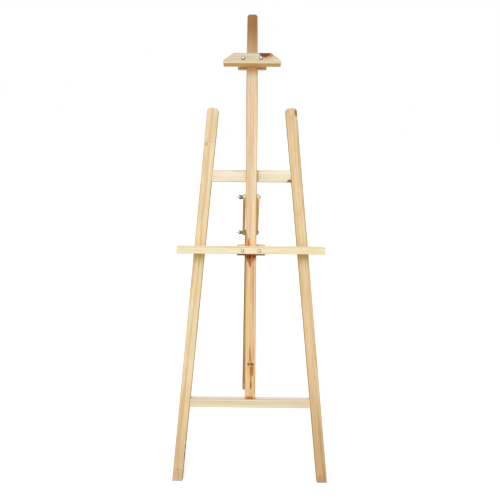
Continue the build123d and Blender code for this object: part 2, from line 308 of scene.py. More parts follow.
def pine(name, strip, look):
    """Solid pine: growth rings about a pith line, drawn round knots, with fibres, resin flecks and worn edges."""
    look = {**PLAIN_LOOK, **look}
    seed = look["seed"]
    t = Tree(name)
    place = t.node("ShaderNodeTexCoord")
    local = t.node("ShaderNodeMapping", {"vector_type": "TEXTURE"}, Vector=place.outputs["Object"])
    local.inputs["Location"].default_value = strip.origin
    local.inputs["Rotation"].default_value = strip.euler
    local = local.outputs[0]
    facing = t.node("ShaderNodeMapping", {"vector_type": "TEXTURE"}, Vector=place.outputs["Normal"])
    facing.inputs["Rotation"].default_value = strip.euler
    x, y, z = t.node("ShaderNodeSeparateXYZ", Vector=local).outputs

    # distance from the pith, which drifts along the strip and swings out round the knots
    drift = t.noise(t.scaled(local, TRUNK_DRIFT, (seed, 0, 0)), 2, 0.5, colour=True)
    drift = t.node("ShaderNodeSeparateColor", Color=drift)
    drift_x, drift_y = [t.mul(t.less(channel, 0.5), DRIFT) for channel in drift.outputs[:2]]
    away_x = t.add(x, drift_x, -look["pith"][0])
    away_y = t.add(y, drift_y, -look["pith"][1])
    away_x = t.add(away_x, t.mul(z, look["run_out"]))
    radius = t.math("SQRT", t.add(t.mul(away_x, away_x), t.mul(away_y, away_y)))
    knots = [(eye, knot_distance(t, eye, local, seed, x, z)) for eye in look["knots"]]
    for _, far in knots:
        radius = t.add(radius, t.step(far, 3.2, 0.4, 0.0, KNOT_SWELL))
    late = late_wood(t, local, look, radius)

    fibre = t.noise(t.scaled(local, FIBRE, (0, 0, seed)), 3, 0.6)
    thread = t.noise(t.scaled(local, THREAD, (seed, 0, 0)), 2, 0.55)
    streak = t.noise(t.scaled(local, STREAK, (0, seed, 3)), 2, 0.5)
    cloud = t.noise(t.scaled(local, CLOUD, (seed, 5, 0)), 2, 0.5)
    fleck = t.step(t.noise(t.scaled(local, FLECK, (7, seed, 0)), 1, 0.4), 0.69, 0.76)

    colour = t.mix(t.mul(late, look["ring"]), look["early"], look["late"])
    colour = t.mix(t.step(streak, 0.42, 0.72, 0.0, look["streaks"]), colour, look["warm"])
    colour = t.mix(t.step(streak, 0.52, 0.28, 0.0, 0.4), colour, look["pale"])
    colour = t.mix(t.step(cloud, 0.35, 0.75, 0.0, look["clouds"]), colour, look["warm"])
    mottle = t.noise(t.scaled(local, MOTTLE, (seed, 9, 2)), 2, 0.5, colour=True)
    mottle = t.node("ShaderNodeSeparateColor", Color=mottle)
    for channel, tint in zip(mottle.outputs, MOTTLE_TINTS):
        colour = t.mix(t.step(channel, 0.47, 0.66, 0.0, look["mottle"]), colour, tint, "MULTIPLY")

    front = t.step(y, -0.4 * strip.half_y, -0.9 * strip.half_y)
    for tint in look["shades"]:
        colour = t.mix(shade_amount(t, tint, z, front), colour, tint["colour"])
    outline = t.add(t.mul(thread, 0.7), t.mul(fibre, 0.8), -0.75)
    for patch in look["patches"]:
        wide = y if patch.get("on") == "side" else x
        colour = t.mix(patch_amount(t, patch, wide, z, outline, front), colour, patch["colour"])
    colour = t.mix(t.mul(late, RINGS_OVER_STAINS), colour, look["late"], "MULTIPLY")
    for eye, far in knots:
        colour = knot_colour(t, eye, far, colour, look["warm"])

    # fibres, resin flecks, end grain and edges
    colour = t.mix(t.step(fibre, 0.3, 0.75, 0.0, 0.16), colour, look["late"], "MULTIPLY")
    colour = t.mix(t.mul(fleck, 0.22), colour, look["late"], "MULTIPLY")
    end = t.math("ABSOLUTE", t.node("ShaderNodeSeparateXYZ", Vector=facing.outputs[0]).outputs[2])
    end = t.step(end, 0.55, 0.9)
    colour = t.mix(t.mul(end, 0.45), colour, look["late"], "MULTIPLY")
    side_gap = t.less(strip.half_x, t.math("ABSOLUTE", x))
    face_gap = t.less(strip.half_y, t.math("ABSOLUTE", y))
    edge = t.add(t.math("MAXIMUM", side_gap, face_gap), t.mul(t.less(fibre, 0.5), EDGE_FRAY))
    edge = t.step(edge, EDGE_WEAR, EDGE_BARE)
    colour = t.mix(t.mul(edge, look["edges"]), colour, look["late"], "MULTIPLY")

    rough = t.add(0.5, t.mul(fibre, 0.16), t.mul(late, -0.08), t.mul(end, 0.18), t.mul(cloud, 0.06))
    t.shader.inputs["Specular IOR Level"].default_value = WOOD_SHEEN
    cutter = t.math("SINE", t.mul(t.add(z, t.mul(x, CUTTER_SKEW)), 2 * pi / CUTTER_MARKS))
    height = t.add(t.mul(fibre, 0.6), t.mul(late, 0.5), t.mul(fleck, -0.5), t.mul(cutter, 0.05))
    for _, far in knots:
        height = t.add(height, t.mul(t.step(far, 1.1, 0.7), 0.6))
    return t.surface(colour, rough, height, 0.35, GRAIN_DEPTH)


def dress(node, material):
    """Give a carried-over CAD node its material."""
    slots = NODES[node].material_slots
    if not slots:
        NODES[node].data.materials.append(material)
    for slot in slots:
        slot.material = material


KNOT_DARK = (92, 44, 20)
KNOT_LIGHT = (176, 112, 60)


def tones(early, late, warm, pale):
    """A strip's colours: early and late wood of each ring, warm streaks and pale ones."""
    return {"early": srgb(*early), "late": srgb(*late), "warm": srgb(*warm), "pale": srgb(*pale)}


def metres(*lengths):
    return tuple(length * MM for length in lengths)


def stain_and_shade(across, along, half_width, half_length, colour, amount, **more):
    """A patch centred at (across, along) on a strip, in millimetres; most are stains in the wood, and the ones
    marked in the looks are painted shade or painted light.
    """
    return dict(
        at=metres(across, along), size=metres(half_width, half_length), colour=srgb(*colour), amount=amount, **more
    )


def knot(across, along, half_width, half_length, dark=KNOT_DARK, light=KNOT_LIGHT, **more):
    """A knot centred at (across, along) on a strip, in millimetres."""
    return dict(
        at=metres(across, along), size=metres(half_width, half_length), dark=srgb(*dark), light=srgb(*light), **more
    )


def shade_along(low, high, colour, amount, **more):
    """A tint that comes in from low to high along a strip, in millimetres; low may be the higher."""
    return dict(along=metres(low, high), colour=srgb(*colour), amount=amount, **more)


def painted_ledge_shadow(low, colour):
    """Painted shade on the front of a leg just below where the ledge stands: the warm colour of the ledge's shadow.
    """
    return shade_along(low, low + 40, colour, 0.95, out=metres(low + 52, low + 40), front=True)


# dark marks along the left leg's inner edge: height and half length
EDGE_MARKS = ((155, 4), (130, 9), (100, 9), (84, 5), (60, 4), (34, 7), (11, 7))
# saw marks at the mast's foot: across, height, half width, half length, colour, amount, lean
SAW_MARKS = (
    (-12.0, 3.0, 1.8, 4.0, (150, 74, 26), 0.9, -0.5),
    (-8.0, 6.5, 1.6, 6.5, (156, 80, 32), 0.9, -0.6),
    (-4.0, 4.5, 2.0, 6.0, (148, 72, 24), 0.9, -0.6),
    (0.5, 6.0, 1.7, 6.5, (158, 82, 34), 0.9, -0.5),
    (5.0, 5.0, 2.2, 7.5, (144, 70, 24), 0.95, -0.4),
    (9.5, 3.5, 2.2, 4.5, (152, 78, 30), 0.9, -0.4),
)

LOOKS = {
    "mast": dict(
        tones((230, 208, 174), (191, 153, 108), (219, 185, 146), (236, 218, 184)),
        along=Z, seed=3.1, pith=(0.006, -0.034), pitch=0.0030, ring=0.42, streaks=0.4,
        shades=[
            shade_along(560, 200, (224, 190, 134), 0.45),
            # painted shade: the mast darkens towards its top above the clamp, as the light falls off there
            shade_along(1040, 1130, (184, 150, 110), 0.8),
            shade_along(1090, 1190, (156, 108, 56), 0.95),
        ],
        patches=[
            # painted shade: the warm colour of the jaw's shadow on the mast's front just below the jaw
            stain_and_shade(0, 1074, 34, 27, (244, 200, 132), 0.95, core=0.05, ragged=0.3, front=True),
            stain_and_shade(13.5, 860, 3.0, 190, (240, 222, 188), 0.7),
            stain_and_shade(4.0, 900, 4.0, 170, (206, 176, 136), 0.55),
            stain_and_shade(-2.0, 612, 4.0, 60, (228, 188, 150), 0.7),
            stain_and_shade(9.0, 600, 6.0, 90, (232, 216, 168), 0.7),
            stain_and_shade(-14.5, 520, 5.0, 60, (186, 134, 80), 0.7),
            stain_and_shade(-8.0, 528, 8.5, 26, (220, 150, 90), 0.85, core=0.3),
            stain_and_shade(-7.6, 532, 1.9, 18, (166, 96, 50), 0.85, core=0.5),
            stain_and_shade(0, 497, 24.0, 26, (224, 160, 84), 0.85, core=0.2, ragged=0.4),
            stain_and_shade(-1.5, 485, 22.0, 30, (188, 104, 32), 0.96, narrows=(3.4, 0.4), core=0.7, ragged=0.9),
            # painted shadow: the dark band the ledge casts across the mast just below it
            stain_and_shade(-1.0, 491, 21.0, 6.8, (124, 60, 14), 0.9, core=0.3, ragged=0.7),
            stain_and_shade(4.6, 487, 2.4, 11, (132, 74, 20), 0.85, lean=-0.25, core=0.6),
            stain_and_shade(-9.5, 488, 2.4, 13, (150, 88, 30), 0.8, lean=0.3, core=0.5),
            stain_and_shade(-14.0, 430, 4.0, 70, (196, 152, 92), 0.7),
            stain_and_shade(-10.0, 300, 5.5, 150, (226, 194, 128), 0.8),
            stain_and_shade(3.0, 420, 5.0, 90, (222, 172, 108), 0.7),
            stain_and_shade(7.0, 330, 4.5, 90, (222, 170, 122), 0.6),
            stain_and_shade(8.5, 400, 2.5, 110, (200, 148, 88), 0.6),
            stain_and_shade(13.5, 300, 2.5, 130, (228, 206, 160), 0.6),
            stain_and_shade(3.0, 215, 6.0, 60, (228, 180, 138), 0.8),
            stain_and_shade(-9.0, 195, 2.0, 40, (232, 196, 112), 0.7),
            stain_and_shade(10.0, 160, 2.4, 40, (200, 150, 100), 0.5),
            stain_and_shade(-1.6, 148, 8.0, 56, (206, 154, 84), 0.95, narrows=(0.75, 3.4), core=0.6, ragged=0.7),
            stain_and_shade(1.2, 150, 2.2, 40, (178, 116, 48), 0.9, lean=-0.12, core=0.5),
            stain_and_shade(3.0, 120, 11.0, 9, (196, 134, 74), 0.8, core=0.5),
            stain_and_shade(-4.6, 103, 4.6, 30, (230, 174, 114), 0.95, core=0.6),
            stain_and_shade(5.4, 101, 6.8, 20, (186, 120, 54), 0.98, core=0.65, ragged=0.7),
            stain_and_shade(4.0, 112, 3.2, 8, (158, 96, 40), 0.7, core=0.4),
            stain_and_shade(12.4, 100, 2.0, 24, (226, 168, 108), 0.8),
            stain_and_shade(2.3, 60, 3.6, 31, (184, 126, 66), 0.95, core=0.5, ragged=0.7),
            stain_and_shade(2.5, 50, 2.9, 14, (146, 86, 38), 0.98, core=0.5, ragged=0.7),
            stain_and_shade(12.0, 50, 5.0, 52, (210, 182, 108), 0.85),
            stain_and_shade(-9.0, 60, 5.0, 60, (226, 200, 146), 0.7),
            stain_and_shade(3.0, 18, 7.0, 18, (214, 160, 104), 0.75),
            stain_and_shade(-1.0, 4.5, 17.0, 8.5, (212, 148, 92), 0.85, core=0.5, ragged=0.6),
            *(stain_and_shade(*mark, lean=lean, core=0.3, ragged=2.2) for *mark, lean in SAW_MARKS),
            stain_and_shade(-2.0, 1.2, 16.0, 2.4, (150, 76, 28), 0.85, core=0.2, ragged=2.0),
            stain_and_shade(3.4, 120.6, 1.3, 1.5, (236, 190, 128), 0.9, core=0.5),
            stain_and_shade(-0.6, 122.6, 1.2, 1.8, (150, 92, 40), 0.8, lean=0.9, core=0.5),
            stain_and_shade(8.4, 121.0, 1.2, 2.4, (150, 92, 40), 0.8, lean=-0.8, core=0.5),
        ],
        knots=[
            knot(-1.5, 510, 6.0, 6.0, halo=0.0),
            knot(-4.6, 125.8, 4.8, 4.8, dark=(112, 62, 20), light=(146, 90, 38), amount=0.95),
            knot(5.8, 126.2, 6.0, 4.4, dark=(104, 56, 18), light=(150, 94, 40), amount=0.95),
        ],
    ),
    "left_front_leg": dict(
        tones((232, 214, 178), (199, 167, 120), (220, 192, 148), (236, 222, 186)),
        along=Z, seed=11.7, pith=(-0.012, 0.045), pitch=0.0032, ring=0.27,
        shades=[
            shade_along(420, 40, (201, 175, 132), 0.7),
            # painted shadow of the ledge on the leg's front
            painted_ledge_shadow(768, (228, 192, 116)),
        ],
        patches=[
            stain_and_shade(2, 1200, 14, 60, (219, 192, 156), 0.6),
            stain_and_shade(14, 700, 4, 420, (230, 204, 150), 0.5),
            stain_and_shade(-4, 250, 9, 160, (215, 185, 134), 0.6),
            stain_and_shade(0, 41.5, 18, 1.6, (135, 107, 74), 0.7, ragged=0.3),
            stain_and_shade(0, 20, 19, 19, (195, 165, 124), 0.7),
            stain_and_shade(-10, 18, 7, 17, (214, 166, 136), 0.75),
            *(stain_and_shade(16.9, at, 1.3, half, (112, 78, 48), 0.9, ragged=0.5, core=0.4) for at, half in EDGE_MARKS),
        ],
        knots=[
            knot(-9.4, 1154, 4.6, 3.6, dark=(178, 137, 92), light=(197, 163, 116), amount=0.7, rim=0.6),
        ],
    ),
    "right_front_leg": dict(
        tones((226, 206, 166), (188, 149, 102), (213, 181, 134), (230, 212, 172)),
        along=Z, seed=23.9, pith=(0.015, -0.040), pitch=0.0028, ring=0.34,
        shades=[
            shade_along(520, 60, (191, 157, 112), 0.8),
            # painted shadow of the ledge on the leg's front
            painted_ledge_shadow(774, (228, 180, 100)),
        ],
        patches=[
            stain_and_shade(3, 1232, 9, 16, (219, 177, 140), 0.6),
            stain_and_shade(9, 560, 6, 210, (222, 185, 134), 0.6),
            stain_and_shade(-5, 640, 5, 130, (215, 196, 140), 0.6),
            stain_and_shade(7, 150, 5, 120, (186, 141, 92), 0.6),
            stain_and_shade(-8, 100, 4, 110, (207, 175, 130), 0.5),
            stain_and_shade(0, 12, 18, 16, (180, 145, 106), 0.7),
            stain_and_shade(-4, 16, 9, 18, (194, 140, 100), 0.7),
            stain_and_shade(10, 34, 4, 44, (178, 130, 78), 0.7),
        ],
        knots=[knot(14.2, 1249, 3.6, 8.5, amount=0.9)],
    ),
    "rear_leg": dict(
        # darker tones than the other legs: partly painted shade, the rear leg standing in shade behind the mast
        tones((196, 162, 102), (150, 110, 60), (178, 138, 80), (204, 172, 116)),
        along=Z, seed=31.3, pith=(0.02, 0.05), pitch=0.0026, ring=0.5,
        shades=[shade_along(62, 40, (204, 190, 140), 0.7)],
    ),
    "lower_rail": dict(
        tones((226, 214, 186), (196, 176, 136), (214, 198, 164), (232, 222, 198)),
        along=X, seed=41.5, pith=(0.0, 0.060), pitch=0.0034, ring=0.5, mottle=0.4,
        patches=[
            stain_and_shade(11, 206, 3, 260, (224, 216, 180), 0.6),
            stain_and_shade(-6.5, 206, 0.9, 330, (188, 168, 128), 0.75, core=0.5, ragged=0.8),
            stain_and_shade(-1.0, 206, 0.8, 330, (192, 172, 124), 0.7, core=0.5, ragged=0.8),
            stain_and_shade(3.6, 206, 0.8, 330, (188, 166, 118), 0.65, core=0.5, ragged=0.8),
            stain_and_shade(-11.5, 206, 2.4, 300, (238, 218, 200), 0.7, ragged=0.4),
            # painted light: the rail's top face made paler, as light from above falls on it
            stain_and_shade(-15.8, 206, 1.2, 900, (228, 220, 210), 0.95, ragged=0.2, core=0.6),
        ],
    ),
    "upper_rail": dict(
        tones((232, 224, 202), (208, 190, 156), (226, 212, 188), (236, 230, 210)),
        along=X, seed=53.3, pith=(-0.02, 0.05), pitch=0.0030, ring=0.35,
        patches=[
            stain_and_shade(-4, 60, 8, 60, (238, 226, 214), 0.6),
            stain_and_shade(-3, 190, 7, 60, (230, 224, 188), 0.6),
            stain_and_shade(12, 251, 8, 9, (214, 140, 84), 0.9),
        ],
        knots=[knot(16.0, 247.0, 5.0, 7.5, dark=(130, 68, 26), light=(176, 104, 52))],
    ),
    "ledge_bar": dict(
        tones((240, 232, 202), (215, 194, 150), (232, 216, 178), (242, 238, 212)),
        along=X, seed=61.1, pith=(0.02, 0.045), pitch=0.0030, run_out=0.035, ring=0.45,
        patches=[
            stain_and_shade(3.5, 108, 1.6, 34, (238, 206, 176), 0.75, on="side", lean=-0.10),
            stain_and_shade(6.0, 190, 1.6, 34, (238, 206, 168), 0.6, on="side", lean=-0.06),
            stain_and_shade(-6.5, 425, 2.0, 40, (240, 206, 170), 0.6, on="side"),
            stain_and_shade(2.5, 18, 3.0, 22, (219, 202, 162), 0.7, on="side"),
            stain_and_shade(0.5, 62, 2.6, 44, (224, 206, 166), 0.7, on="side", lean=-0.05),
            stain_and_shade(-3.0, 130, 2.5, 50, (232, 222, 176), 0.6, on="side", lean=-0.03),
            stain_and_shade(-4.0, 330, 2.6, 120, (234, 212, 174), 0.7, on="side"),
            stain_and_shade(4.0, 300, 2.2, 110, (238, 216, 172), 0.6, on="side", lean=0.02),
            stain_and_shade(0.0, 400, 2.0, 70, (226, 196, 150), 0.5, on="side", lean=0.03),
        ],
    ),
    "ledge_back_block": dict(
        tones((236, 230, 200), (208, 190, 150), (226, 214, 180), (240, 236, 208)),
        along=X, seed=67.7, pith=(0.01, 0.05), pitch=0.0028,
        patches=[
            # painted shadow: the dark line the ledge bar casts along the block's lower front
            stain_and_shade(16.5, 20, 4.0, 44, (90, 52, 14), 0.95, ragged=0.2, core=0.7, front=True),
            stain_and_shade(16.5, 78, 4.0, 28, (160, 138, 110), 0.85, ragged=0.2, core=0.7, front=True),
        ],
    ),
    "clamp_jaw": dict(
        tones((215, 206, 180), (188, 171, 136), (203, 190, 160), (222, 214, 188)),
        along=X, seed=71.9, pith=(-0.01, 0.05), pitch=0.0032, ring=0.45,
        patches=[
            stain_and_shade(12.0, 84, 2.6, 100, (228, 206, 164), 0.85, core=0.6),
            # painted shade: the warm colour of the shade on the jaw's underside
            stain_and_shade(15.7, 84, 1.3, 250, (234, 190, 122), 0.98, ragged=0.2, core=0.6),
            stain_and_shade(0.0, 30, 4.0, 40, (222, 204, 176), 0.5),
            stain_and_shade(-8.5, 125, 11.0, 19, (208, 158, 118), 0.85, ragged=0.5),
            stain_and_shade(-9.0, 139, 6.0, 8, (190, 126, 86), 0.9, ragged=0.5, core=0.5),
            stain_and_shade(-8.7, 137.5, 2.0, 3, (140, 76, 44), 0.7),
        ],
        knots=[knot(-15.5, 121.0, 11.5, 14.5, dark=(96, 42, 14), light=(140, 78, 34), halo=0.0)],
    ),
    "clamp_back_block": dict(
        # tones darker than the jaw's: partly painted shade, the block standing in the jaw's shadow
        tones((207, 181, 128), (170, 137, 86), (193, 163, 108), (215, 192, 142)),
        along=X, seed=83.3, pith=(0.01, -0.05), pitch=0.0028,
        patches=[
            # painted shade: the orange of the jaw's shadow on the block's underside and lower front
            stain_and_shade(17.9, 43, 1.2, 250, (252, 190, 100), 0.98, ragged=0.2, core=0.6),
            stain_and_shade(15.0, 43, 4.0, 250, (250, 206, 128), 0.9, ragged=0.2, core=0.6, front=True),
        ],
    ),
    "left_link_plate": dict(
        tones((206, 168, 100), (164, 120, 62), (192, 148, 80), (216, 180, 114)),
        along=Z, seed=91.1, pith=(0.01, 0.03), pitch=0.0026, edges=0.3, mottle=0.3,
        # painted light: the plate grows paler towards its rounded top, which faces the light from above
        shades=[shade_along(118, 150, (216, 182, 104), 0.6), shade_along(150, 161, (250, 238, 196), 0.9)],
    ),
    "right_link_plate": dict(
        # paler tones than the left plate's: partly painted light, making up for the shade on this plate's front edge
        tones((250, 216, 140), (206, 158, 84), (236, 192, 112), (252, 224, 156)),
        along=Z, seed=97.7, pith=(-0.01, 0.03), pitch=0.0024, edges=0.15, mottle=0.2,
        # painted shade at the lower end, and painted light on the rounded top, which faces the light from above
        shades=[shade_along(50, 8, (150, 116, 60), 0.5), shade_along(150, 161, (250, 232, 186), 0.9)],
    ),
}


def dress_timber():
    for node, look in LOOKS.items():
        strip = Strip(node, look["along"])
        dress(node, pine("pine_" + node, strip, look))


# ---- hardware --------------------------------------------------------------------------------------
ROUND = 48                        # points around a turned piece
HEAD_R = 5.25 * MM
HEAD_H = 3.3 * MM
SHANK_R = 2.98 * MM
THREAD_PITCH = 1.0 * MM
THREAD_DEPTH = 0.55 * MM
THREAD_LENGTH = 22 * MM
THREAD_STEPS = 8                  # rows of points in one turn of a thread
WASHER_R = 6.2 * MM
WASHER_HOLE_R = 3.2 * MM
WASHER_T = 1.2 * MM
NUT_BORE_R = 3.05 * MM
NUT_VOXEL = 0.33 * MM
SCREW_HEAD_R = 4.0 * MM
SCREW_HEAD_H = 2.6 * MM
SCREW_R = 2.0 * MM
SCREW_PITCH = 2.2 * MM


def new_mesh(name, points, faces):
    mesh = bpy.data.meshes.new(name)
    mesh.from_pydata(points, [], faces)
    mesh.validate()
    return mesh


def turned(name, rows, around=ROUND):
    """A closed body of turning from (radius function or number, height) rows; the first and last rows are points."""
    points = []
    for radius, height in rows[1:-1]:
        for k in range(around):
            angle = 2 * pi * k / around
            r = radius(angle) if callable(radius) else radius
            points.append((r * cos(angle), r * sin(angle), height))
    faces = []
    for row in range(len(rows) - 3):
        low, high = row * around, (row + 1) * around
        for k in range(around):
            n = (k + 1) % around
            faces.append((low + k, low + n, high + n, high + k))
    first, last = len(points), len(points) + 1
    points += [(0, 0, rows[0][1]), (0, 0, rows[-1][1])]
    top = (len(rows) - 3) * around
    for k in range(around):
        n = (k + 1) % around
        faces.append((first, n, k))
        faces.append((last, top + k, top + n))
    return new_mesh(name, points, faces)


def thread_rows(low, high, radius, depth, pitch, fade):
    """Rows of a screw thread from low to high; fade(height) is how deep it is cut there, and the radius may vary."""
    rows = []
    count = int((high - low) / pitch * THREAD_STEPS)
    for step in range(count + 1):
        height = low + (high - low) * step / count

        def cut(angle, height=height):
            phase = (height / pitch - angle / (2 * pi)) % 1.0
            valley = min(1.0, max(0.0, 1.25 - abs(phase - 0.5) * 4))
            return radius(height) - depth * fade(height) * valley
        rows.append((cut, height))
    return rows


def ramp(value, low, high):
    return min(1.0, max(0.0, (value - low) / (high - low)))


def cross_cutter(half_length, half_width, depth):
    """A tapered cross, its mouth at height 0."""
    def ring(length, width, height):
        corner = [(width, width), (width, length), (-width, length), (-width, width)]
        points = []
        for quarter in range(4):
            c, s = round(cos(quarter * pi / 2)), round(sin(quarter * pi / 2))
            points += [(c * px - s * py, s * px + c * py, height) for px, py in corner[:3]]
        return points
    rings = [
        ring(half_length * 1.06, half_width * 1.08, 1.0 * MM),
        ring(half_length, half_width, 0.0),
        ring(half_length * 0.62, half_width * 0.72, -depth * 0.75),
        ring(half_length * 0.34, half_width * 0.5, -depth),
    ]
    count = len(rings[0])
    faces = [tuple(range(count)), tuple(reversed(range(3 * count, 4 * count)))]
    for row in range(3):
        for k in range(count):
            n = (k + 1) % count
            faces.append((row * count + k, (row + 1) * count + k, (row + 1) * count + n, row * count + n))
    mesh = new_mesh("cross", [point for r in rings for point in r], faces)
    tidy = bmesh.new()
    tidy.from_mesh(mesh)
    bmesh.ops.recalc_face_normals(tidy, faces=tidy.faces)
    tidy.to_mesh(mesh)
    tidy.free()
    return mesh


def modified(mesh, *modifiers):
    """The mesh after modifiers, each a (kind, settings) pair."""
    holder = placed("holder", mesh)
    for kind, settings in modifiers:
        modifier = holder.modifiers.new(kind, kind)
        for key, value in settings.items():
            setattr(modifier, key, value)
    bpy.context.view_layer.update()
    graph = bpy.context.evaluated_depsgraph_get()
    result = bpy.data.meshes.new_from_object(holder.evaluated_get(graph))
    bpy.data.objects.remove(holder)
    return result


def carved(mesh, cutter_mesh, at=(0, 0, 0)):
    cutter = placed("cutter", cutter_mesh)
    cutter.location = at
    result = modified(mesh, ("BOOLEAN", {"operation": "DIFFERENCE", "solver": "EXACT", "object": cutter}))
    bpy.data.objects.remove(cutter)
    return result


def shade(mesh, sharp_degrees=35):
    """Smooth shading, with a crease wherever two faces meet at more than this angle."""
    mesh.polygons.foreach_set("use_smooth", [True] * len(mesh.polygons))
    mesh.set_sharp_from_angle(angle=radians(sharp_degrees))
    return mesh


def bolt_mesh(length):
    """Round-head bolt with its head towards +Z and the underside of the head at height 0."""
    sphere_r = (HEAD_R ** 2 + HEAD_H ** 2) / (2 * HEAD_H)
    rows = [(0, HEAD_H)]
    for step in range(1, 12):
        height = HEAD_H * (1 - (step / 12) ** 2)
        rows.append((sqrt(sphere_r ** 2 - (height + sphere_r - HEAD_H) ** 2), height))
    rows += [(HEAD_R - 0.06 * MM, 0.42 * MM), (HEAD_R, 0.25 * MM)]
    rows += [(HEAD_R - 0.18 * MM, 0.02 * MM), (HEAD_R - 0.4 * MM, 0)]
    rows += [(SHANK_R + 0.3 * MM, 0), (SHANK_R, -0.3 * MM)]
    start = -length + THREAD_LENGTH
    rows.append((SHANK_R, start))
    tip = -length

    def reach(height):
        return SHANK_R - 0.75 * MM * (1 - ramp(height, tip, tip + 0.8 * MM))

    def fade(height):
        return ramp(start - height, 0, 2 * THREAD_PITCH) * ramp(height, tip - 0.5 * MM, tip + 0.8 * MM)
    rows += reversed(thread_rows(tip, start - 0.1 * MM, reach, THREAD_DEPTH, THREAD_PITCH, fade))
    rows += [(SHANK_R * 0.5, tip), (0, tip)]
    mesh = turned("bolt", list(reversed(rows)))
    cross = cross_cutter(2.5 * MM, 0.52 * MM, 2.1 * MM)
    return shade(carved(mesh, cross, (0, 0, HEAD_H)))


def washer_mesh():
    """Flat washer on height 0, its edges broken by the stamping."""
    soft = 0.22 * MM
    section = [
        (WASHER_HOLE_R + soft, 0), (WASHER_R - soft, 0), (WASHER_R - 0.06 * MM, 0.07 * MM), (WASHER_R, soft),
        (WASHER_R, WASHER_T - 0.1 * MM), (WASHER_R - 0.1 * MM, WASHER_T), (WASHER_HOLE_R + soft, WASHER_T),
        (WASHER_HOLE_R, WASHER_T - soft), (WASHER_HOLE_R, soft),
    ]
    points = []
    around = ROUND + 16
    for k in range(around):
        angle = 2 * pi * k / around
        points += [(r * cos(angle), r * sin(angle), height) for r, height in section]
    count = len(section)
    faces = []
    for k in range(around):
        here, after = k * count, ((k + 1) % around) * count
        for j in range(count):
            n = (j + 1) % count
            faces.append((here + j, after + j, after + n, here + n))
    return shade(new_mesh("washer", points, faces))


def bent(outline, corner, steps=5):
    """A closed outline with each corner rounded, starting this far back along both of its sides."""
    rounded = []
    count = len(outline)
    for k, (px, py) in enumerate(outline):
        ends = []
        for qx, qy in (outline[k - 1], outline[(k + 1) % count]):
            length = hypot(qx - px, qy - py)
            share = min(0.45, corner / length)
            ends.append((px + (qx - px) * share, py + (qy - py) * share))
        (ax, ay), (bx, by) = ends
        for step in range(steps + 1):
            u = step / steps
            rounded.append((
                (1 - u) ** 2 * ax + 2 * u * (1 - u) * px + u * u * bx,
                (1 - u) ** 2 * ay + 2 * u * (1 - u) * py + u * u * by,
            ))
    return rounded


# a wing's outline, outwards and up, in millimetres
WING = [
    (2.6, 0.9), (6.2, 0.9), (9.8, 4.0), (11.4, 7.2), (11.1, 11.2), (8.5, 11.3), (6.8, 8.8), (5.1, 6.5), (2.6, 6.1),
]
WING_CORNER = 1.5
# the hub's radius and height, in millimetres
HUB = [(0, 0), (4.9, 0), (5.45, 0.35), (5.5, 1.2), (5.2, 2.2), (4.75, 5.8), (4.5, 6.7), (4.1, 7.0), (0, 7.0)]
WING_HALF_T = 1.15 * MM
WING_RIM_R = 1.45 * MM            # the rim of a cast wing is a little thicker than its middle
BEAD_GAP = 0.45 * MM


def spaced(path, gap):
    """Points at an even gap along a path."""
    points = [path[0]]
    for (ax, ay), (bx, by) in zip(path, path[1:]):
        while hypot(bx - points[-1][0], by - points[-1][1]) > gap:
            px, py = points[-1]
            length = hypot(bx - px, by - py)
            points.append((px + (bx - px) * gap / length, py + (by - py) * gap / length))
    return points


def plate(outline, half_thickness):
    """A flat plate in X and Z."""
    count = len(outline)
    points = [(px, side * half_thickness, pz) for side in (-1, 1) for px, pz in outline]
    faces = [tuple(range(count)), tuple(reversed(range(count, 2 * count)))]
    for k in range(count):
        n = (k + 1) % count
        faces.append((k, count + k, count + n, n))
    return points, faces


def wing_nut_mesh():
    """Cast wing nut on height 0: a tapered hub and two wings, run together and softened as a casting is."""
    hub = turned("hub", [metres(*row) for row in HUB])
    body = bmesh.new()
    body.from_mesh(hub)
    rim = [metres(*point) for point in bent(WING, WING_CORNER)]
    inset = [(px - 0.9 * MM, pz - 0.9 * MM * ramp(pz, 6 * MM, 12 * MM)) for px, pz in rim]
    edge = [point for point in inset if point[0] > 6.0 * MM and point[1] > 2.4 * MM]
    beads = spaced(edge, BEAD_GAP)
    for side in (-1, 1):
        outline = [(side * px, pz) for px, pz in rim]
        points, faces = plate(outline, WING_HALF_T)
        made = [body.verts.new(point) for point in points]
        for face in faces:
            body.faces.new([made[k] for k in face])
        # a bead along the wing's outer edge: evenly spaced balls that the remesh runs together
        for px, pz in beads:
            matrix = Matrix.Translation((side * px, 0, pz))
            bmesh.ops.create_uvsphere(body, u_segments=12, v_segments=8, radius=WING_RIM_R, matrix=matrix)
    bmesh.ops.recalc_face_normals(body, faces=body.faces)
    mesh = bpy.data.meshes.new("wing_nut")
    body.to_mesh(mesh)
    body.free()
    mesh = modified(
        mesh,
        ("REMESH", {"mode": "VOXEL", "voxel_size": NUT_VOXEL}),
        ("SMOOTH", {"factor": 0.5, "iterations": 7}),
    )
    for vertex in mesh.vertices:
        if vertex.co.z < 0.25 * MM:
            vertex.co.z = 0.0
    bore = turned("bore", [(0, -2 * MM), (NUT_BORE_R, -2 * MM), (NUT_BORE_R, 10 * MM), (0, 10 * MM)])
    return shade(carved(mesh, bore), 50)


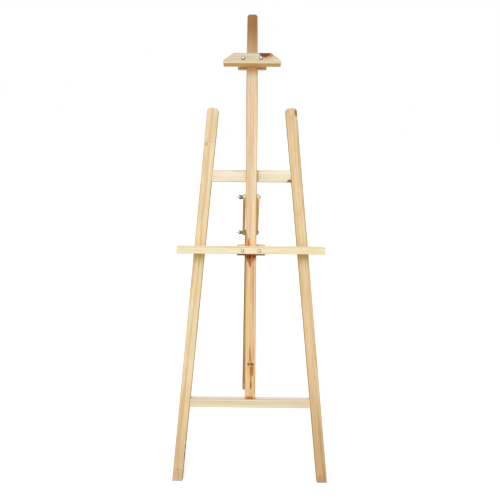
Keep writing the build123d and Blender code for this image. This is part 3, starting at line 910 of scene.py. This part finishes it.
def screw_mesh(length):
    """Countersunk wood screw, its head's face at height 0 and its point down."""
    point = -length
    neck = -SCREW_HEAD_H
    start = neck - 0.25 * length

    def reach(height):
        return 0.25 * MM + (SCREW_R - 0.25 * MM) * ramp(height, point, point + 7 * MM)

    def fade(height):
        return ramp(start - height, 0, 3 * MM) * ramp(height, point, point + 5 * MM)
    rows = [(0, 0), (SCREW_HEAD_R - 0.15 * MM, 0), (SCREW_HEAD_R, -0.18 * MM), (SCREW_R, neck), (SCREW_R, start)]
    rows += reversed(thread_rows(point + 0.3 * MM, start - 0.1 * MM, reach, 0.6 * MM, SCREW_PITCH, fade))
    rows += [(0, point)]
    mesh = turned("screw", list(reversed(rows)), 24)
    return shade(carved(mesh, cross_cutter(2.3 * MM, 0.45 * MM, 1.9 * MM)))


def solids_of(node):
    """The separate solids of a CAD node, as lists of points."""
    joined = bmesh.new()
    joined.from_mesh(NODES[node].data)
    bmesh.ops.remove_doubles(joined, verts=joined.verts, dist=1e-6)
    left = set(joined.verts)
    solids = []
    while left:
        edge = [left.pop()]
        solid = []
        while edge:
            vertex = edge.pop()
            solid.append(vertex.co.copy())
            near = {e.other_vert(vertex) for e in vertex.link_edges} & left
            left -= near
            edge.extend(near)
        solids.append(solid)
    joined.free()
    return solids


def long_axis(points):
    """The direction in which a slim solid is longest, found from its two points that are farthest apart."""
    start = points[0]
    for _ in range(4):
        end = max(points, key=lambda p: (p - start).length_squared)
        start, end = end, start
    return (start - end).normalized()


def along_axis(points, axis):
    """Lowest and highest distance along an axis, and the middle of the points seen along it."""
    reach = [point.dot(axis) for point in points]
    across = [point - axis * point.dot(axis) for point in points]
    low = Vector([min(p[k] for p in across) for k in range(3)])
    high = Vector([max(p[k] for p in across) for k in range(3)])
    return min(reach), max(reach), (low + high) / 2


def stand(name, mesh, at, axis, side=None):
    """An object with its Z along axis, and its X towards side as far as that allows."""
    side = side or (X if abs(axis.dot(X)) < 0.9 else Y)
    x = (side - axis * side.dot(axis)).normalized()
    made = placed(name, mesh)
    made.matrix_world = Matrix.Translation(at) @ Matrix((x, axis.cross(x), axis)).transposed().to_4x4()
    return made


def install(piece, node, material):
    """Let a piece stand for a CAD node, on the node's own body."""
    piece.data.materials.clear()
    piece.data.materials.append(material)
    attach(piece, NODES[node]["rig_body"])
    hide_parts(node)


# dark ring on the bolt heads' domes: grime, and painted shade of the dome's rim
GRIME_AND_SHADE = srgb(62, 56, 46)


def metal(name, tone, rough, stain_and_shade, grain, grimy_shaded_rim=None):
    """Plated steel: cloudy plating, fine tool marks and specks, and grime with painted shade between two radii if
    asked.
    """
    t = Tree(name)
    place = t.node("ShaderNodeTexCoord").outputs["Object"]
    cloud = t.noise(t.scaled(place, (240, 240, 240)), 3, 0.6)
    speck = t.noise(t.scaled(place, (2600, 2600, 2600), (3, 0, 0)), 2, 0.6)
    marks = t.noise(t.scaled(place, (900, 900, 5200), (0, 2, 0)), 2, 0.6)
    colour = t.mix(t.step(cloud, 0.35, 0.7, 0.0, 0.7), tone, stain_and_shade)
    colour = t.mix(t.step(speck, 0.6, 0.75, 0.0, 0.35), colour, tuple(0.55 * c for c in stain_and_shade[:3]) + (1,))
    rough = t.add(rough, t.mul(cloud, 0.16), t.mul(speck, 0.10))
    if grimy_shaded_rim:
        x, y, z = t.node("ShaderNodeSeparateXYZ", Vector=place).outputs
        radius = t.math("SQRT", t.add(t.mul(x, x), t.mul(y, y)))
        radius = t.add(radius, t.mul(t.less(cloud, 0.5), 0.6 * MM))
        # grime and painted shade on the dome's outer rim
        grime_and_shade = t.mul(t.step(radius, *grimy_shaded_rim, 0.0, 0.92), t.step(z, -0.4 * MM, 0.0))
        colour = t.mix(grime_and_shade, colour, GRIME_AND_SHADE)
        rough = t.add(rough, t.mul(grime_and_shade, 0.4))
    t.shader.inputs["Metallic"].default_value = 1.0
    height = t.add(t.mul(speck, grain), t.mul(marks, 0.4))
    return t.surface(colour, rough, height, 0.25, 0.06 * MM)


def rubber(name):
    """Matt rubber with moulding grain, dust and scuffed edges."""
    t = Tree(name)
    place = t.node("ShaderNodeTexCoord").outputs["Object"]
    dust = t.noise(t.scaled(place, (160, 160, 160)), 4, 0.65)
    grit = t.noise(t.scaled(place, (1800, 1800, 1800)), 2, 0.6)
    colour = t.mix(t.step(dust, 0.4, 0.75), srgb(104, 100, 96), srgb(150, 144, 134))
    colour = t.mix(t.step(grit, 0.55, 0.8, 0.0, 0.5), colour, srgb(66, 62, 60))
    return t.surface(colour, t.add(0.72, t.mul(dust, 0.2)), grit, 0.4, 0.2 * MM)


def joint_axis(joint):
    return Vector(JOINTS[joint]["axis"]).normalized()


def each_solid(node, key):
    return enumerate(sorted(solids_of(node), key=key))


def add_wing_nuts():
    cast = metal("zinc_cast", srgb(112, 104, 114), 0.34, srgb(78, 68, 80), 1.0)
    mesh = wing_nut_mesh()
    for place in ("link_pivot", "leg_pivot", "clamp_left", "clamp_right", "ledge_left", "ledge_right"):
        node = place + "_wing_nut"
        joint = place.removesuffix("_pivot") + "_nut_turn"
        axis = joint_axis(joint)
        centre = Vector(JOINTS[joint]["pos_m"])
        points = [vertex.co for vertex in NODES[node].data.vertices]
        foot = min(point.dot(axis) for point in points)
        out = [(point - centre) - axis * (point - centre).dot(axis) for point in points]
        wing = max(out, key=lambda v: v.length)
        at = centre + axis * (foot - centre.dot(axis))
        install(stand(node + "_cast", mesh.copy(), at, axis, wing), node, cast)


def add_bolts(pivot, clamp, ledge):
    # the heads are darkened from 3.2 to 4.5 mm out: grime and painted shade of the rim
    head = metal("zinc_head", srgb(244, 244, 244), 0.3, srgb(222, 220, 216), 0.4, metres(3.2, 4.5))
    bolts = {"link_pivot_bolt": pivot, "leg_pivot_bolt": pivot, "clamp_bolts": clamp, "ledge_bolts": ledge}
    for node, axis in bolts.items():
        for number, points in each_solid(node, lambda solid: solid[0].x):
            tip, top, middle = along_axis(points, axis)
            seat = middle + axis * (top - HEAD_H)
            piece = stand(f"{node}_turned_{number}", bolt_mesh(top - HEAD_H - tip), seat, axis)
            install(piece, node, head)


def add_washers(pivot, clamp, ledge):
    bright = metal("zinc_bright", srgb(206, 206, 208), 0.24, srgb(176, 172, 170), 0.5)
    mesh = washer_mesh()
    washers = {
        "link_pivot_head_washer": pivot, "link_pivot_nut_washer": -pivot,
        "leg_pivot_head_washer": pivot, "leg_pivot_nut_washer": -pivot,
        "clamp_washers": -clamp, "ledge_washers": -ledge,
    }
    for node, axis in washers.items():
        for number, points in each_solid(node, lambda solid: solid[0].x):
            low, _, middle = along_axis(points, axis)
            piece = stand(f"{node}_stamped_{number}", mesh.copy(), middle + axis * low, axis)
            install(piece, node, bright)


def end_radius(points, axis, middle, end):
    """How far a solid reaches from its axis at one of its ends."""
    return max((p - axis * p.dot(axis) - middle).length for p in points if abs(p.dot(axis) - end) < MM)


def add_screws():
    steel = metal("zinc_yellow", srgb(206, 192, 160), 0.28, srgb(170, 150, 112), 0.6)
    for node in ("lower_rail_screws", "upper_rail_screws", "mast_back_screws", "mast_base_screws"):
        for number, points in each_solid(node, lambda solid: (solid[0].x, solid[0].z)):
            axis = long_axis(points)
            low, high, middle = along_axis(points, axis)
            if end_radius(points, axis, middle, low) > end_radius(points, axis, middle, high):
                axis, low, high = -axis, -high, -low
            piece = stand(f"{node}_cut_{number}", screw_mesh(high - low), middle + axis * high, axis)
            install(piece, node, steel)


def add_hardware():
    """Bolts, washers and wing nuts: pivot bolts point along the hinge, the others out of the front."""
    towards = joint_axis("link_pivot"), -joint_axis("clamp_left_nut_turn"), -joint_axis("ledge_left_nut_turn")
    add_wing_nuts()
    add_bolts(*towards)
    add_washers(*towards)
    add_screws()


def add_foot_pads():
    """Foot pads with softened edges, made from the CAD pads."""
    material = rubber("foot_rubber")
    for node in ("left_foot_pad", "right_foot_pad", "rear_foot_pad"):
        whole = bmesh.new()
        whole.from_mesh(NODES[node].data)
        bmesh.ops.remove_doubles(whole, verts=whole.verts, dist=1e-6)
        bmesh.ops.dissolve_limit(whole, angle_limit=radians(1), verts=whole.verts, edges=whole.edges)
        mesh = bpy.data.meshes.new(node)
        whole.to_mesh(mesh)
        whole.free()
        bevel = {"width": 0.5 * MM, "segments": 3, "limit_method": "ANGLE", "angle_limit": radians(40)}
        mesh = modified(mesh, ("BEVEL", bevel))
        install(placed(node + "_soft", shade(mesh, 50)), node, material)


# ---- stage -----------------------------------------------------------------------------------------
FLOOR_REACH = 40.0
DOME_RADIUS = 39.0
FLOOR_WHITE = 0.52
FLOOR_GLOW = 0.54
FLOOR_BOUNCE = 0.55               # what the floor sends back to the easel, as a mid grey studio floor does
BOUNCE_DROP = 0.001
KEY_FROM = Vector((-0.30, -0.90, 0.80))
KEY_POWER = 1.67
KEY_SPREAD = radians(34)
KEY_COLOUR = (0.98, 1.01, 1.10)
SKY_TOP = 0.95
SKY_RIM = 0.25
SKY_FRONT = 0.37                  # added towards the front, where the large soft light stands
SKY_BACK = 0.45                   # added towards the back
SKY_COLOUR = (1.0, 0.97, 0.90, 1)
CAMERA_ONLY = (
    "visible_diffuse", "visible_glossy", "visible_transmission", "visible_shadow", "visible_volume_scatter",
)


def stage_material(name, level, glow=0.0):
    t = Tree(name)
    t.shader.inputs["Base Color"].default_value = (level, level, level, 1)
    t.shader.inputs["Roughness"].default_value = 0.9
    t.shader.inputs["Specular IOR Level"].default_value = 0.0
    t.shader.inputs["Emission Color"].default_value = (1, 1, 1, 1)
    t.shader.inputs["Emission Strength"].default_value = glow
    return t.material


def stage_object(name, mesh, material):
    mesh.materials.append(material)
    made = placed(name, mesh)
    return made


def add_floor(name, height, material):
    r = FLOOR_REACH
    corners = [(-r, -r, height), (r, -r, height), (r, r, height), (-r, r, height)]
    return stage_object(name, new_mesh(name, corners, [(0, 1, 2, 3)]), material)


def add_stage():
    """A white floor and a white surround that only the camera sees, and a greyer floor that lights the easel."""
    floor = add_floor("floor", 0.0, stage_material("floor_white", FLOOR_WHITE, FLOOR_GLOW))
    bounce = add_floor("floor_bounce", -BOUNCE_DROP, stage_material("floor_grey", FLOOR_BOUNCE))
    dome_mesh = bpy.data.meshes.new("surround")
    shell = bmesh.new()
    bmesh.ops.create_uvsphere(shell, u_segments=48, v_segments=24, radius=DOME_RADIUS)
    shell.to_mesh(dome_mesh)
    shell.free()
    surround = stage_object("surround", dome_mesh, stage_material("surround_white", 0.0, 1.0))
    bounce.visible_camera = False
    for made in (floor, surround):
        for flag in CAMERA_ONLY:
            setattr(made, flag, False)


def light_scene():
    scene = bpy.context.scene
    scene.view_settings.view_transform = "Standard"
    world = bpy.data.worlds.new("studio")
    world.use_nodes = True
    tree = world.node_tree
    sky = tree.nodes["Background"]
    place = tree.nodes.new("ShaderNodeTexCoord")
    split = tree.nodes.new("ShaderNodeSeparateXYZ")
    rise = tree.nodes.new("ShaderNodeMapRange")
    tree.links.new(place.outputs["Generated"], split.inputs[0])
    tree.links.new(split.outputs["Z"], rise.inputs["Value"])
    rise.inputs["To Min"].default_value = SKY_RIM
    rise.inputs["To Max"].default_value = SKY_TOP
    strength = rise.outputs[0]
    for low, high, at_low, at_high in ((-1.0, -0.1, SKY_FRONT, 0.0), (0.1, 1.0, 0.0, SKY_BACK)):
        turn = tree.nodes.new("ShaderNodeMapRange")
        tree.links.new(split.outputs["Y"], turn.inputs["Value"])
        for name, value in zip(("From Min", "From Max", "To Min", "To Max"), (low, high, at_low, at_high)):
            turn.inputs[name].default_value = value
        total = tree.nodes.new("ShaderNodeMath")
        tree.links.new(strength, total.inputs[0])
        tree.links.new(turn.outputs[0], total.inputs[1])
        strength = total.outputs[0]
    tree.links.new(strength, sky.inputs["Strength"])
    sky.inputs["Color"].default_value = SKY_COLOUR
    scene.world = world
    key = bpy.data.lights.new("key", "SUN")
    key.energy = KEY_POWER
    key.color = KEY_COLOUR
    key.angle = KEY_SPREAD
    placed("key", key).rotation_euler = KEY_FROM.to_track_quat("Z", "Y").to_euler()


add_camera()
add_stage()
light_scene()
dress_timber()
add_hardware()
add_foot_pads()
